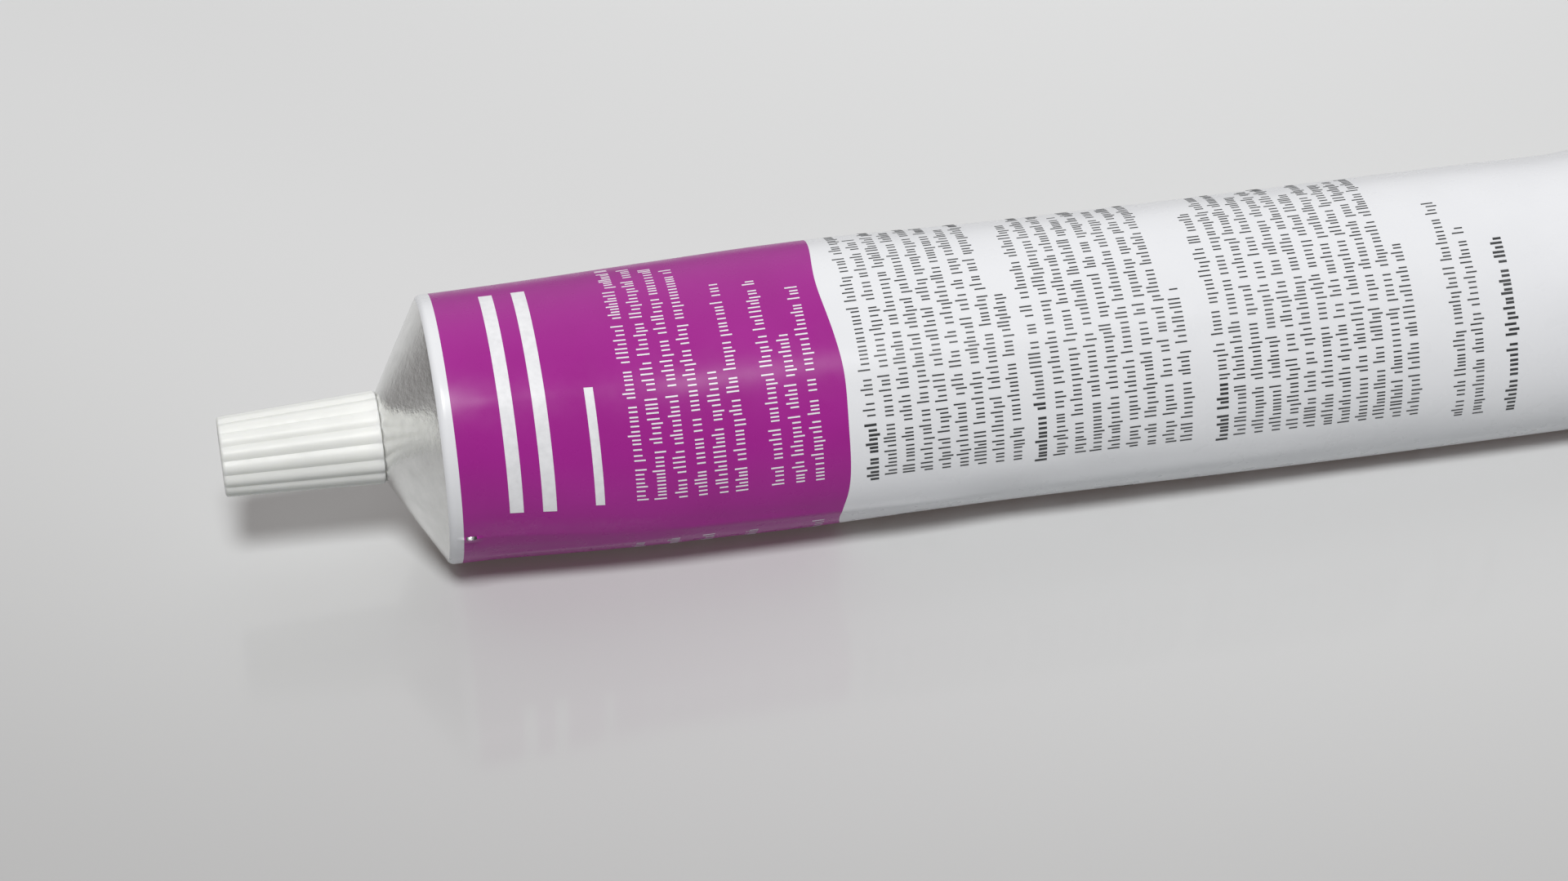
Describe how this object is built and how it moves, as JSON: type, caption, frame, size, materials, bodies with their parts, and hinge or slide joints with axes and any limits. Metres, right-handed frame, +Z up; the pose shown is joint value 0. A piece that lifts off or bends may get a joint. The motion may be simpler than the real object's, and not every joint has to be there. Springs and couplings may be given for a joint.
{
  "type": "acrylic glue tube",
  "caption": "Round aluminium squeeze tube lying on its side, with a conical shoulder, a fluted screw cap that hides a piercing spike, and a flat tail folded over twice, for dispensing glue.",
  "frame": {"origin": "on the table, under the middle of the part's box", "axes": "+X along the tube from the cap to the folded tail, +Z up, +Y away from the side with the print"},
  "size_m": [0.2014, 0.0368, 0.0307],
  "materials": {
    "white_enamel": "satin white enamel on soft aluminium",
    "purple_ink": "satin printed band on the enamel",
    "bare_aluminium": "frosted, bare",
    "latex_sealant": "matte",
    "clear_adhesive": "clear, viscous",
    "cap_plastic": "moulded, satin",
    "liner_foam": "foam, matte"
  },
  "bodies": {
    "tube": {"tube_shell": "white_enamel", "seal_membrane": "bare_aluminium", "tail_sealant": "latex_sealant", "adhesive_fill": "clear_adhesive"},
    "liner": {"cap_liner": "liner_foam"},
    "cap": {"screw_cap": "cap_plastic"}
  },
  "joints": [
    {"name": "cap_lift", "type": "slide", "parent": "tube", "child": "liner", "axis": [-1, 0, 0], "range_m": [0, 0.008]},
    {"name": "cap_turn", "type": "hinge", "parent": "liner", "child": "cap", "pos_m": [-0.092, 0.00022, 0.015], "axis": [-1, 0, 0], "range_deg": [0, 1440]}
  ],
  "couplings": [
    {"joint": "cap_turn", "follows": "cap_lift", "rad_per_m": 3141.6}
  ]
}
